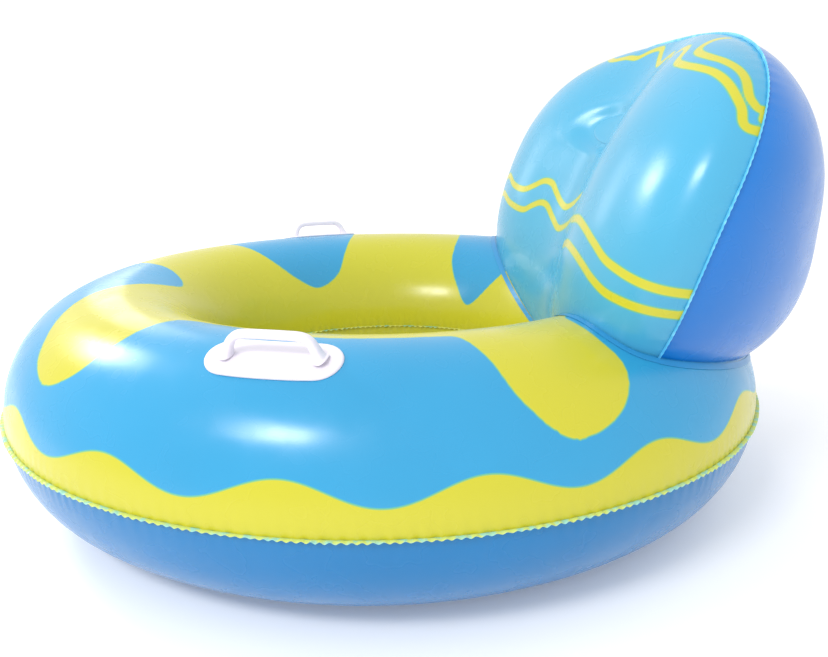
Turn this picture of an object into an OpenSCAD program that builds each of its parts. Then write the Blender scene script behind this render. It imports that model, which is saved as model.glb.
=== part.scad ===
// Inflatable ring lounge: an oval air ring with an open seat hole, a two-lobed air
// backrest welded across its rear, two moulded grab handles and two push-in valves.
// Millimetres, +Z up, the front is -Y. The ring rests on the plane z = 0, and the
// origin is below the middle of the whole object.

/* [Ring] */
// Length of the ring along Y, without its seam
ring_length = 1150; // [900:10:1500]
// Width of the ring along X, without its seam
ring_width = 1056; // [850:10:1350]
// Diameter of the air tube
tube_d = 313; // [240:1:380]
// Radius of the tight ends as a share of the shorter half of the oval
end_tightness = 0.96; // [0.85:0.01:0.98]
// Thickness of the vinyl film
film_t = 0.5; // [0.3:0.05:0.8]
// Height that the tube flattens by where it rests
foot_flat = 1.2; // [0.5:0.1:3]

/* [Seams] */
// Width of the weld flange around the ring and the backrest
seam_w = 6; // [4:0.5:12]
// Thickness of that flange
seam_t = 1.2; // [0.8:0.1:2]
// Width of the weld that holds the backrest to the ring
foot_weld_w = 8; // [5:1:14]
// Thickness of that weld
foot_weld_t = 0.8; // [0.6:0.1:1.5]

/* [Backrest] */
// Width of the backrest across its seam
back_w = 820; // [660:10:1000]
// Height of the backrest above its widest level
back_up = 220; // [180:5:280]
// Depth of its outline below its widest level, hidden in the ring at the end
back_down = 285; // [230:5:350]
// Distance up the seam from its foot level to its widest level
back_mid = 166; // [130:2:210]
// Lean of the seam at its foot level, in degrees
back_lean = 7.4; // [0:0.2:20]
// Radius of the seam's backward curve
back_curve_r = 788; // [600:10:2000]
// How far the seam's foot stands ahead of the rear tube's centre line
back_set = 110; // [70:5:150]
// How far the seam's foot level lies below the top of the tube
back_sink = 34; // [15:1:60]
// Depth of the front lobes ahead of the seam
front_depth = 112; // [90:2:150]
// Depth of the rear panel behind the seam
rear_depth = 289; // [220:5:340]
// Half width of the valley between the front lobes
valley_w = 164; // [110:2:210]
// Share of the front depth that the valley takes away
valley_share = 0.71; // [0.3:0.01:0.8]
// Width of the oval weld patch high in the valley
disc_w = 130; // [80:5:160]
// Height of the oval weld patch
disc_h = 60; // [40:2:80]

/* [Handles] */
// How far the handles stand ahead of the ring's centre
handle_ahead = 120; // [60:5:200]
// Outward tilt of a handle from the top of the tube, in degrees
handle_tilt = 18; // [0:1:35]
// Length of the moulded patch along the tube
patch_l = 157; // [130:1:190]
// Width of the moulded patch across the tube
patch_w = 65; // [50:1:80]
// Thickness of the patch
patch_t = 1.6; // [1:0.1:3]
// Diameter of the grip's round bar
bar_d = 12; // [9:0.5:15]
// Distance between the middles of the grip's feet
grip_foot_l = 110; // [90:1:130]
// Distance between the middles of the grip's bends
grip_top_l = 74; // [60:1:88]
// Height of the bar's centre above the patch
grip_h = 28; // [22:1:38]
// Inward lean of the grip, in degrees
grip_lean = 10; // [0:1:20]

/* [Valves] */
// Radius of the stem's air passage
stem_bore_r = 6; // [4:0.5:8]
// Wall of the stem
stem_wall = 2; // [1.5:0.1:3]
// How far the stem pulls out to be inflated
stem_travel = 12; // [8:1:16]
// Length of the collar that guides the stem
collar_l = 12; // [9:1:16]
// Diameter of the valve's welded flange
flange_d = 38; // [34:1:50]
// Thickness of the flange, the stem's head and the cap
valve_t = 1.6; // [1.2:0.1:2.4]
// Height of the ring's valve above its seam, as an angle around the tube
ring_valve_rise = 34; // [20:1:50]
// How far the ring's valve stands ahead of the ring's centre
ring_valve_ahead = 40; // [0:5:200]

/* [Fits] */
// Radial clearance of the stem in its collar
slide_gap = 0.1; // [0.05:0.05:0.3]
// Radial clearance of the cap's plug in the stem
plug_gap = 0.3; // [0.2:0.05:0.5]
// Gap between pieces that lie face to face on the film
lay_gap = 0.4; // [0.3:0.1:0.8]
// Clearance of the backrest's cut foot above the ring's skin
foot_gap = 1.2; // [0.8:0.1:2]

/* [Hidden] */
$fn = 96;
eps = 0.01;

// ---- the oval that the tube follows: two slack side arcs and two tight end arcs
tube_r = tube_d / 2;
half_long = max(ring_length, ring_width) / 2;
half_short = min(ring_length, ring_width) / 2;
oval_turn = ring_width > ring_length ? 90 : 0;
end_r = end_tightness * half_short;
side_shift = (pow(half_long - end_r, 2) - pow(half_short - end_r, 2)) / (2 * (half_short - end_r));
side_r = half_short + side_shift;
end_shift = half_long - end_r;
join_angle = atan2(end_shift, side_shift);
tube_z = tube_r - foot_flat;

// ---- the backrest's own shape numbers: roundness of the outline and of the two cheeks
outline_power = 2.6;
front_fullness = 0.31;
rear_fullness = 0.65;
rear_taper = 0.33;
valley_growth = 0.25;
rear_crease = 0.06;
rear_crease_w = 58;

// Steps of the curved films: along the side arcs, the end arcs and half the tube's section,
// and rays above the ring, rays that meet it, and steps along each ray
side_steps = 16;
end_steps = 24;
tube_steps = 14;
top_rays = 36;
foot_rays = 74;
rings = 10;
foot_bunch = 0.96;

// Plan distance from the tube's centre line, for a point given from the ring's centre
function turned(p) = oval_turn == 0 ? [p.x, p.y] : [p.y, p.x];
function line_offset(p) =
    let (a = abs(turned(p).x), b = abs(turned(p).y))
    side_shift * b - end_shift * (a + side_shift) > 0
        ? norm([a, b - end_shift]) - (end_r - tube_r)
        : norm([a + side_shift, b]) - (side_r - tube_r);
// Distance of a point above the tube's skin, with z counted from the seam's level
function skin_gap(p) = norm([line_offset(p), p.z]) - tube_r;
function unit(v) = v / norm(v);
function skin_normal(p) = unit([for (d = [[1, 0, 0], [0, 1, 0], [0, 0, 1]])
    skin_gap(p + eps * d) - skin_gap(p - eps * d)]);
// A point moved along the skin's normal until it has a gap
function laid_on_skin(p, gap) = p + (gap - skin_gap(p)) * skin_normal(p);

// A point of a backrest panel. a: angle around the middle, q: 0 at the middle to 1 at the
// seam, side: 1 for the front panel and -1 for the rear, inset: depth below the skin
rear_line_y = ring_length / 2 - tube_r;
foot_y = rear_line_y - back_set;
foot_z = tube_r - back_sink;
function outline(a) =
    pow(pow(abs(cos(a)), outline_power) + pow(abs(sin(a)), outline_power), -1 / outline_power);
function front_cheek(x, level, bulge) =
    (front_depth - film_t) * pow(bulge, front_fullness)
    * (1 - valley_share * exp(-pow(x / valley_w, 2)) * (1 + valley_growth * level));
function rear_cheek(x, level, bulge) =
    rear_depth * (1 - rear_taper * level) * pow(bulge, rear_fullness)
    * (1 - rear_crease * exp(-pow(x / rear_crease_w, 2)));
function panel_point(a, q, side, inset = 0) =
    let (r = q * outline(a),
        x = (back_w / 2 - inset) * r * cos(a),
        s = back_mid + ((sin(a) > 0 ? back_up : back_down) - inset) * r * sin(a),
        level = (s - back_mid) / back_up,
        bulge = max(0, 1 - q * q),
        deep = side > 0 ? front_cheek(x, level, bulge) : rear_cheek(x, level, bulge),
        h = side * max(0, deep - inset * pow(bulge, 0.5)))
    [x,
        foot_y + s * sin(back_lean) + s * s / (2 * back_curve_r) - h * cos(back_lean),
        foot_z + s * cos(back_lean) + h * sin(back_lean)];

// The share of a ray that lies above the ring's skin: the first step that is too low is
// found from the middle outwards, then halved
look_steps = 45;
function is_low(a, q, side, inset) = skin_gap(panel_point(a, q, side, inset)) < foot_gap;
function first_low(a, side, inset, k = 1) =
    k > look_steps || is_low(a, sin(90 * k / look_steps), side, inset) ? k
    : first_low(a, side, inset, k + 1);
function halved(a, side, inset, low, high, step = 0) =
    let (mid = (low + high) / 2)
    step > 20 ? low
    : is_low(a, mid, side, inset) ? halved(a, side, inset, low, mid, step + 1)
    : halved(a, side, inset, mid, high, step + 1);
function cut_q(a, side, inset) =
    let (k = first_low(a, side, inset))
    k > look_steps ? 1
    : halved(a, side, inset, sin(90 * (k - 1) / look_steps), sin(90 * k / look_steps));

// The angles between which the front panel meets the ring, by halving
function foot_end(low = 270, high = 360, step = 0) =
    let (mid = (low + high) / 2)
    step > 20 ? high
    : cut_q(mid, 1, 0) < 1 ? foot_end(mid, high, step + 1) : foot_end(low, mid, step + 1);
foot_to = foot_end();
foot_from = 540 - foot_to;

// The rays that meet the ring stand closer together towards both ends of the foot
function bunched(t) = (foot_from + foot_to) / 2
    + (foot_to - foot_from) / 2 * ((1 - foot_bunch) * t + foot_bunch * sin(90 * t));
ray_angles = concat(
    [for (i = [0:top_rays - 1]) foot_to - 360 + i * (foot_from + 360 - foot_to) / top_rays],
    [for (i = [0:foot_rays - 1]) bunched(2 * i / foot_rays - 1)]);
ray_count = top_rays + foot_rays;

// Skin points of one panel, ray by ray from the middle outwards
function skin(side, inset) = [for (a = ray_angles)
    let (end = asin(cut_q(a, side, inset)))
    for (j = [1:rings]) panel_point(a, sin(end * j / rings), side, inset)];

// The whole object is set so that its box is centred over the origin
rear_skin = skin(-1, 0);
back_end_y = max([for (p = rear_skin) p.y]);
ring_front_y = -ring_length / 2 - seam_w;
ring_y = -(back_end_y + ring_front_y) / 2;

// ---- placing
module from_ring() {
    translate([0, ring_y, tube_z]) children();
}

// Ring piece at a distance ahead of the centre, tilted outwards from the top of the tube:
// local z points out of the skin, y runs back along the tube, and z = 0 is the tube's centre
function arc_r() = side_r - tube_r;
function ahead_angle(ahead) = asin(ahead / arc_r());
module on_tube(side, ahead, tilt) {
    mirror([side < 0 ? 1 : 0, 0, 0]) translate([-side_shift, 0, 0]) rotate(-ahead_angle(ahead))
        translate([arc_r(), 0, 0]) rotate([0, tilt, 0]) children();
}

// The skin of the tube along one side, grown to a radius, as a solid
module side_tube(side, r) {
    mirror([side < 0 ? 1 : 0, 0, 0]) translate([-side_shift, 0, 0]) rotate(-join_angle)
        rotate_extrude(angle = 2 * join_angle) translate([arc_r(), 0]) circle(r);
}

// ---- ring
// Stations round the oval, each an arc's centre, radius of the centre line and angle
function arc(cx, cy, r, from, to, count) =
    [for (i = [0:count - 1]) [cx, cy, r - tube_r, from + (to - from) * i / count]];
stations = concat(
    arc(-side_shift, 0, side_r, -join_angle, join_angle, side_steps),
    arc(0, end_shift, end_r, join_angle, 180 - join_angle, end_steps),
    arc(side_shift, 0, side_r, 180 - join_angle, 180 + join_angle, side_steps),
    arc(0, -end_shift, end_r, 180 + join_angle, 360 - join_angle, end_steps));
station_count = len(stations);
// A point at a station, off the centre line by a plan distance and a height
function at_station(i, off) =
    let (s = stations[i % station_count], a = s[3] + oval_turn, r = s[2] + off.x,
        c = oval_turn == 0 ? [s[0], s[1]] : [-s[1], s[0]])
    [c.x + r * cos(a), c.y + r * sin(a), off.y];

// Half sections of the tube's skin at a depth: over the top, and under with the flat
function upper_section(inset) = [for (k = [0:tube_steps])
    let (a = 180 * k / tube_steps) (tube_r - inset) * [cos(a), sin(a)]];
function lower_section(inset) =
    let (r = tube_r - inset, flat = acos((tube_z - inset) / r), half = tube_steps / 2)
    concat([for (k = [0:half]) let (a = -(90 - flat) * k / half) r * [cos(a), sin(a)]],
        [for (k = [0:half]) let (a = -90 - flat - (90 - flat) * k / half) r * [cos(a), sin(a)]]);

// Two skins, swept round the oval and joined along both edges
module ring_film(outer, inner, flip) {
    n = len(outer);
    loop = concat(outer, [for (k = [1:n]) inner[n - k]]);
    m = 2 * n;
    points = [for (i = [0:station_count - 1], p = loop) at_station(i, p)];
    faces = [for (i = [0:station_count - 1], k = [0:m - 1])
        let (j = (i + 1) % station_count, l = (k + 1) % m,
            quad = [i * m + k, j * m + k, j * m + l, i * m + l])
        each flip ? [[quad[0], quad[1], quad[2]], [quad[0], quad[2], quad[3]]]
            : [[quad[2], quad[1], quad[0]], [quad[3], quad[2], quad[0]]]];
    polyhedron(points, faces, convexity = 8);
}

module ring_upper_panel() {
    color([0.36, 0.74, 0.92]) from_ring() difference() {
        ring_film(upper_section(0), upper_section(film_t), false);
        at_ring_valve() film_hole();
    }
}

module ring_lower_panel() {
    color([0.29, 0.6, 0.84]) from_ring()
        ring_film(lower_section(0), lower_section(film_t), true);
}

module ring_flange(from, to) {
    half = seam_t / 2;
    sweep([for (i = [0:station_count - 1])
        [for (c = [[from, -half], [to, -half], [to, half], [from, half]]) at_station(i, c)]],
        true);
}

module ring_outer_seam() {
    color([0.45, 0.76, 0.78]) from_ring() ring_flange(tube_r, tube_r + seam_w);
}

module ring_inner_seam() {
    color([0.75, 0.72, 0.3]) from_ring() ring_flange(-tube_r - seam_w, -tube_r);
}

// ---- backrest
// Two grids of skin points make one closed film
module film_panel(side) {
    outer = skin(side, 0);
    inner = skin(side, film_t);
    n = ray_count * rings;
    points = concat(outer, inner, [panel_point(90, 0, side, 0), panel_point(90, 0, side, film_t)]);
    function at(i, j) = (i % ray_count) * rings + j;
    function both(quad, flip) = flip
        ? [[quad[0], quad[1], quad[2]], [quad[0], quad[2], quad[3]]]
        : [[quad[2], quad[1], quad[0]], [quad[3], quad[2], quad[0]]];
    faces = [for (i = [0:ray_count - 1]) each concat(
        [side > 0 ? [2 * n, at(i + 1, 0), at(i, 0)] : [2 * n, at(i, 0), at(i + 1, 0)]],
        [side > 0 ? [2 * n + 1, n + at(i, 0), n + at(i + 1, 0)]
            : [2 * n + 1, n + at(i + 1, 0), n + at(i, 0)]],
        both([at(i, rings - 1), at(i + 1, rings - 1), n + at(i + 1, rings - 1),
            n + at(i, rings - 1)], side > 0),
        [for (j = [0:rings - 2]) each concat(
            both([at(i, j), at(i + 1, j), at(i + 1, j + 1), at(i, j + 1)], side > 0),
            both([n + at(i, j), n + at(i + 1, j), n + at(i + 1, j + 1), n + at(i, j + 1)],
                side < 0))])];
    polyhedron(points, faces, convexity = 6);
}

module backrest_front_panel() {
    color([0.42, 0.79, 0.94]) from_ring() film_panel(1);
}

module backrest_rear_panel() {
    color([0.25, 0.52, 0.85]) from_ring() difference() {
        film_panel(-1);
        at_back_valve() film_hole();
    }
}

// Joins rings of corners, all with the same count, along a path that is closed or has two ends
module sweep(corners, closed) {
    n = len(corners);
    m = len(corners[0]);
    points = [for (c = corners) each c];
    last = closed ? n - 1 : n - 2;
    sides = [for (i = [0:last], k = [0:m - 1])
        let (a = m * i + k, b = m * i + (k + 1) % m,
            c = m * ((i + 1) % n) + (k + 1) % m, d = m * ((i + 1) % n) + k)
        each [[a, b, c], [a, c, d]]];
    ends = closed ? [] : [[for (k = [1:m]) m - k], [for (k = [0:m - 1]) m * (n - 1) + k]];
    polyhedron(points, concat(sides, ends), convexity = 6);
}

// The seam's flange stands out of the outline, half in front and half behind
seam_start = 0.2;
module backrest_seam() {
    near_side = [for (a = ray_angles) if (a > 270) a - 360];
    far_side = [for (a = ray_angles) if (a <= 270) a];
    open_rays = [for (a = concat(near_side, far_side))
        if (skin_gap(panel_point(a, 1, 1, -seam_w)) > foot_gap
            && skin_gap(panel_point(a, 1, 1, 0)) > foot_gap) a];
    half = [0, seam_t / 2, 0];
    color([0.55, 0.84, 0.95]) from_ring() sweep([for (a = open_rays)
        let (low = panel_point(a, 1, 1, -seam_start), high = panel_point(a, 1, 1, -seam_w))
        [low - half, low + half, high + half, high - half]], false);
}

// The weld that runs round the backrest's foot, lying on the ring's skin: along the front
// panel's cut, up to the seam, back along the rear panel's cut and down from the seam
weld_start = 2.5;
bridge_steps = 7;
function bridge(a) = let (from = asin(cut_q(a, 1, 0)))
    [for (k = [1:bridge_steps - 1])
        panel_point(a, sin(from + (90 - from) * k / bridge_steps), 1)];
last_bridge = bridge(ray_angles[top_rays + 1]);
foot_path = concat(
    [for (a = ray_angles) if (a >= foot_from && cut_q(a, 1, 0) < 1)
        panel_point(a, cut_q(a, 1, 0), 1)],
    bridge(ray_angles[ray_count - 1]),
    [for (k = [1:ray_count]) let (a = ray_angles[ray_count - k])
        if (a >= foot_from) panel_point(a, cut_q(a, -1, 0), -1)],
    [for (k = [1:bridge_steps - 1]) last_bridge[bridge_steps - 1 - k]]);
module backrest_foot_weld() {
    n = len(foot_path);
    color([0.5, 0.8, 0.93]) from_ring() sweep([for (i = [0:n - 1])
        let (p = foot_path[i],
            up = skin_normal(p),
            along = unit(foot_path[(i + 1) % n] - foot_path[(i + n - 1) % n]),
            out = unit(cross(along, up)),
            near = laid_on_skin(p + weld_start * out, lay_gap),
            wide = laid_on_skin(p + (weld_start + foot_weld_w) * out, lay_gap))
        [near, wide, wide + foot_weld_t * up, near + foot_weld_t * up]], true);
}

// A film web inside the backrest holds the valley back. Its outline follows both cheeks,
// and its foot follows the ring's crown
web_inset = 4;
web_steps = 14;
web_top_q = 0.86;
module backrest_tie_web() {
    crown_r = tube_r + web_inset;
    function edge(side) = concat(
        [for (k = [0:web_steps]) panel_point(270, web_q(side) * (1 - k / web_steps), side)],
        [for (k = [1:web_steps]) panel_point(90, web_top_q * k / web_steps, side)]);
    front = [for (p = edge(1)) [p.y + web_inset, p.z]];
    rear = [for (p = edge(-1)) [p.y - web_inset, p.z]];
    n = len(rear);
    from = atan2(rear[0].y, rear[0].x - rear_line_y);
    to = atan2(front[0].y, front[0].x - rear_line_y);
    crown = [for (k = [1:web_steps - 1]) let (a = from + (to - from) * k / web_steps)
        [rear_line_y + crown_r * cos(a), crown_r * sin(a)]];
    color([0.8, 0.9, 0.95]) from_ring() rotate([90, 0, 90])
        translate([0, 0, -film_t / 2]) linear_extrude(film_t)
            polygon(concat(front, [for (k = [1:n]) rear[n - k]], crown));
}
function web_q(side) = cut_q(270, side, 0) * 0.9;

// An oval patch on the inner face of the front film, at the web's widest pull
disc_level = 0.45;
disc_gap = 1.5;
module valley_weld_disc() {
    spot = panel_point(90, disc_level, 1);
    tip = panel_point(90, disc_level + 0.02, 1);
    color([0.6, 0.85, 0.95]) from_ring() translate(spot)
        rotate([-atan2(tip.y - spot.y, tip.z - spot.z), 0, 0]) rotate([-90, 0, 0])
            translate([0, 0, disc_gap]) patch_oval();
}
module patch_oval() {
    end = (disc_w - disc_h) / 2;
    linear_extrude(valve_t) hull()
        for (x = [-end, end]) translate([x, 0]) circle(disc_h / 2);
}

// ---- handles
module handle_patch(side) {
    from_ring() intersection() {
        difference() {
            side_tube(side, tube_r + lay_gap + patch_t);
            side_tube(side, tube_r + lay_gap);
        }
        on_tube(side, handle_ahead, handle_tilt) oval_block(tube_r / 2, tube_r);
    }
}

// An upright block with the patch's oval outline
module oval_block(z, h) {
    y_end = (patch_l - patch_w) / 2;
    translate([0, 0, z]) {
        for (y = [-y_end, y_end]) translate([0, y, 0]) cylinder(r = patch_w / 2, h = h);
        translate([-patch_w / 2, -y_end, 0]) cube([patch_w, 2 * y_end, h]);
    }
}

// The grip's middle line in its own plane: a foot, an arc at each bend, and the other foot
bar_r = bar_d / 2;
foot_dip = 0.8;
bend_r = 14;
bend_steps = 5;
bar_sides = 12;
slope = atan2(grip_h + foot_dip, (grip_foot_l - grip_top_l) / 2);
bend_mid = [grip_top_l / 2 - bend_r * tan(slope / 2), grip_h - bend_r];
half_grip = concat([for (i = [0:bend_steps]) let (a = 90 - slope * i / bend_steps)
    [bend_mid + bend_r * [cos(a), sin(a)], a]], [[[grip_foot_l / 2, -foot_dip], 90 - slope]]);
grip_count = len(half_grip);
grip_line = concat(
    [for (i = [1:grip_count]) let (p = half_grip[grip_count - i])
        [[-p[0].x, p[0].y], 180 - p[1]]],
    half_grip);

module handle_grip(side) {
    from_ring() on_tube(side, handle_ahead, handle_tilt)
        translate([0, 0, tube_r + lay_gap + patch_t]) rotate([0, -grip_lean, 0])
            sweep([for (p = grip_line) [for (k = [0:bar_sides - 1])
                let (a = -360 * k / bar_sides, out = bar_r * cos(a))
                [bar_r * sin(a), p[0].x + out * cos(p[1]), p[0].y + out * sin(p[1])]]], false);
}

module near_handle_patch() {
    color([0.96, 0.95, 0.98]) handle_patch(1);
}

module near_handle_grip() {
    color([0.96, 0.95, 0.98]) handle_grip(1);
}

module far_handle_patch() {
    color([0.96, 0.95, 0.98]) handle_patch(-1);
}

module far_handle_grip() {
    color([0.96, 0.95, 0.98]) handle_grip(-1);
}

// ---- valves, drawn with z = 0 on the film and +Z out of the skin
stem_r = stem_bore_r + stem_wall;
collar_r = stem_r + slide_gap;
collar_wall = 1.4;
hole_gap = 0.6;
head_r = stem_r + 2.4;
seat_z = lay_gap + valve_t;
head_z = seat_z + 0.1;
stem_low_z = -collar_l - stem_travel;
stop_h = 1.2;
cap_z = head_z + valve_t + 0.1;
plug_depth = 4;
hinge_x = -head_r - 4;
ear_end = 0.5;
flap_gap = 0.2;
flap_t = 0.8;
tether_w = 5;
tether_t = 1;

module film_hole() {
    translate([0, 0, -collar_l]) cylinder(r = collar_r + collar_wall + hole_gap, h = 3 * collar_l);
}

module valve_base() {
    difference() {
        union() {
            translate([0, 0, lay_gap]) cylinder(r = flange_d / 2, h = valve_t);
            translate([0, 0, -collar_l]) cylinder(r = collar_r + collar_wall, h = collar_l + seat_z);
        }
        translate([0, 0, -collar_l - 1]) cylinder(r = collar_r, h = 2 * collar_l + seat_z);
    }
}

module valve_stem() {
    difference() {
        union() {
            translate([0, 0, stem_low_z]) cylinder(r = stem_r, h = head_z - stem_low_z);
            translate([0, 0, stem_low_z - stop_h]) cylinder(r = collar_r + 1, h = stop_h);
            translate([0, 0, head_z]) cylinder(r = head_r, h = valve_t);
            translate([hinge_x + ear_end, -tether_w / 2, head_z])
                cube([-hinge_x - ear_end, tether_w, valve_t]);
        }
        translate([0, 0, stem_low_z - stop_h - 1])
            cylinder(r = stem_bore_r, h = head_z - stem_low_z + stop_h + valve_t + 2);
    }
}

module valve_flap() {
    translate([0, 0, stem_low_z - stop_h - flap_gap - flap_t])
        cylinder(r = stem_bore_r + 1.2, h = flap_t);
}

module valve_cap() {
    translate([0, 0, cap_z]) cylinder(r = head_r - 0.5, h = valve_t);
    translate([0, 0, cap_z - plug_depth]) cylinder(r = stem_bore_r - plug_gap, h = plug_depth);
}

module valve_tether() {
    translate([hinge_x, -tether_w / 2, cap_z + 0.2])
        cube([-hinge_x - head_r + 0.5 - eps, tether_w, tether_t]);
}

// The ring's valve is on the far side, above the seam
module at_ring_valve() {
    on_tube(-1, ring_valve_ahead, 90 - ring_valve_rise) translate([0, 0, tube_r]) rotate(180)
        children();
}

// The backrest's valve is low on the rear panel, towards the far side
valve_ray = 196;
valve_q = 0.62;
valve_seat_lift = 0.4;
valve_spot = panel_point(valve_ray, valve_q, -1);
valve_out = unit(cross(panel_point(valve_ray + 1, valve_q, -1) - valve_spot,
    panel_point(valve_ray, valve_q + 0.01, -1) - valve_spot));
valve_across = unit(cross([0, 0, 1], valve_out));
valve_up = cross(valve_out, valve_across);
module at_back_valve() {
    multmatrix([for (i = [0:2]) [valve_across[i], valve_up[i], valve_out[i],
        valve_spot[i] + valve_seat_lift * valve_out[i]]]) children();
}

module ring_valve_base() {
    color([0.9, 0.93, 0.96]) from_ring() at_ring_valve() valve_base();
}

module ring_valve_stem() {
    color([0.82, 0.9, 0.96]) from_ring() at_ring_valve() valve_stem();
}

module ring_valve_flap() {
    color([0.7, 0.85, 0.95]) from_ring() at_ring_valve() valve_flap();
}

module ring_valve_cap() {
    color([0.95, 0.95, 0.97]) from_ring() at_ring_valve() valve_cap();
}

module ring_valve_tether() {
    color([0.95, 0.95, 0.97]) from_ring() at_ring_valve() valve_tether();
}

module backrest_valve_base() {
    color([0.9, 0.93, 0.96]) from_ring() at_back_valve() valve_base();
}

module backrest_valve_stem() {
    color([0.82, 0.9, 0.96]) from_ring() at_back_valve() valve_stem();
}

module backrest_valve_flap() {
    color([0.7, 0.85, 0.95]) from_ring() at_back_valve() valve_flap();
}

module backrest_valve_cap() {
    color([0.95, 0.95, 0.97]) from_ring() at_back_valve() valve_cap();
}

module backrest_valve_tether() {
    color([0.95, 0.95, 0.97]) from_ring() at_back_valve() valve_tether();
}

ring_upper_panel();
ring_lower_panel();
ring_outer_seam();
ring_inner_seam();
backrest_front_panel();
backrest_rear_panel();
backrest_seam();
backrest_foot_weld();
backrest_tie_web();
valley_weld_disc();
near_handle_patch();
near_handle_grip();
far_handle_patch();
far_handle_grip();
ring_valve_base();
ring_valve_stem();
ring_valve_flap();
ring_valve_cap();
ring_valve_tether();
backrest_valve_base();
backrest_valve_stem();
backrest_valve_flap();
backrest_valve_cap();
backrest_valve_tether();
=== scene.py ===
# %% [markdown]
# # An inflatable ring lounge with an air backrest
# The real object is cut from flat sheets of glossy printed vinyl. Two oval films welded along
# both rims make the ring, two more make the backrest, and small moulded parts are welded on.
# The cells below make those pieces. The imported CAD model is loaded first, because it is the
# frame: the ring's sizes are read from it, and the backrest's and the handles' sizes, which its
# boxes can't give, repeat the values of the CAD design.

# %% Load the frame
import math

import bmesh
import bpy
import numpy as np
from mathutils import Matrix, Vector, kdtree, noise


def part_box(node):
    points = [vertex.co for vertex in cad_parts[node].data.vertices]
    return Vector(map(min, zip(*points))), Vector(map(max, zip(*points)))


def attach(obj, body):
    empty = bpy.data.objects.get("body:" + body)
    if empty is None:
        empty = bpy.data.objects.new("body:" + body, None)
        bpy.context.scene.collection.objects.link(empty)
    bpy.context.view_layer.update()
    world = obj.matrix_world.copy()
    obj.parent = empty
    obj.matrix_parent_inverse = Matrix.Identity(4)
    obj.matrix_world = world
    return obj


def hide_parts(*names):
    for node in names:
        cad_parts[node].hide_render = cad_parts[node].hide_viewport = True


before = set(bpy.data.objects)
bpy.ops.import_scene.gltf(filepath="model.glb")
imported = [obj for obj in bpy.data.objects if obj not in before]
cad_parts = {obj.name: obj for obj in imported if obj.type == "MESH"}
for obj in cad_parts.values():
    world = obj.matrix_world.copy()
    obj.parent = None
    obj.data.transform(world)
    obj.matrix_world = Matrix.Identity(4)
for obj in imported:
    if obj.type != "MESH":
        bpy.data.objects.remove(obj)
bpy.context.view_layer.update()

ROOT = "ring_and_backrest"

# %% [markdown]
# ## The ring's sizes
# The ring is a tube bent round an oval of four arcs. The upper film's box gives the oval's
# length and width and the tube's radius, and the arcs follow from those three.

# %% Ring sizes
ring_low, ring_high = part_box("ring_upper_panel")
TUBE_R = ring_high.z - ring_low.z
TUBE_Z = ring_low.z
RING_Y = (ring_low.y + ring_high.y) / 2
HALF_LONG = (ring_high.y - ring_low.y) / 2
HALF_WIDE = (ring_high.x - ring_low.x) / 2
END_TIGHTNESS = 0.96
END_R = END_TIGHTNESS * HALF_WIDE
SIDE_SHIFT = ((HALF_LONG - END_R) ** 2 - (HALF_WIDE - END_R) ** 2) / (2 * (HALF_WIDE - END_R))
SIDE_R = HALF_WIDE + SIDE_SHIFT
END_SHIFT = HALF_LONG - END_R
JOIN = math.atan2(END_SHIFT, SIDE_SHIFT)
FILM_T = 0.0005
print("tube radius", round(TUBE_R, 4), "end arc", round(END_R, 4), "side arc", round(SIDE_R, 4))


def ring_point(turn, around, lift=0.0):
    """A point of the ring's skin: turn goes round the oval from the near side towards the
    backrest, around goes from the outer seam over the top to the inner one (radians)."""
    turn, around, lift = np.broadcast_arrays(turn, around, lift)
    ahead = np.cos(turn)
    aside = np.sin(turn)
    on_side = np.abs(ahead) > math.cos(JOIN)
    centre_x = np.where(on_side, -np.sign(ahead) * SIDE_SHIFT, 0.0)
    centre_y = np.where(on_side, 0.0, np.sign(aside) * END_SHIFT)
    reach = np.where(on_side, SIDE_R, END_R) - TUBE_R + (TUBE_R + lift) * np.cos(around)
    height = TUBE_Z + (TUBE_R + lift) * np.sin(around)
    return np.stack([centre_x + reach * ahead, RING_Y + centre_y + reach * aside, height], -1)


def skin_gap(points):
    """How far points are outside the ring's skin; negative means inside the tube."""
    a = np.abs(points[..., 0])
    b = np.abs(points[..., 1] - RING_Y)
    at_end = SIDE_SHIFT * b - END_SHIFT * (a + SIDE_SHIFT) > 0
    from_end = np.hypot(a, b - END_SHIFT) - (END_R - TUBE_R)
    from_side = np.hypot(a + SIDE_SHIFT, b) - (SIDE_R - TUBE_R)
    off = np.where(at_end, from_end, from_side)
    return np.hypot(off, points[..., 2] - TUBE_Z) - TUBE_R


# %% [markdown]
# ## Helpers that turn rows of points into meshes
# Film pieces are grids: rows of points that run along the piece, each with the same number of
# points across. A grid can close on itself both ways, and a pole closes a round end.

# %% Mesh helpers
SHARP_ANGLE = math.radians(50)
WELD_DISTANCE = 1e-6


def finish_mesh(piece):
    """Welds doubles, points the faces outwards, shades smooth and keeps folded rims crisp."""
    work = bmesh.new()
    work.from_mesh(piece.data)
    bmesh.ops.remove_doubles(work, verts=work.verts, dist=WELD_DISTANCE)
    bmesh.ops.dissolve_degenerate(work, edges=work.edges, dist=WELD_DISTANCE / 10)
    work.normal_update()
    if work.calc_volume(signed=True) < 0:
        bmesh.ops.reverse_faces(work, faces=work.faces)
    for edge in work.edges:
        if len(edge.link_faces) == 2 and edge.calc_face_angle(0) > SHARP_ANGLE:
            edge.smooth = False
    for face in work.faces:
        face.smooth = True
    work.to_mesh(piece.data)
    work.free()
    triangles = sum(len(p.vertices) - 2 for p in piece.data.polygons)
    print(piece.name, "triangles", triangles)
    return piece


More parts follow.
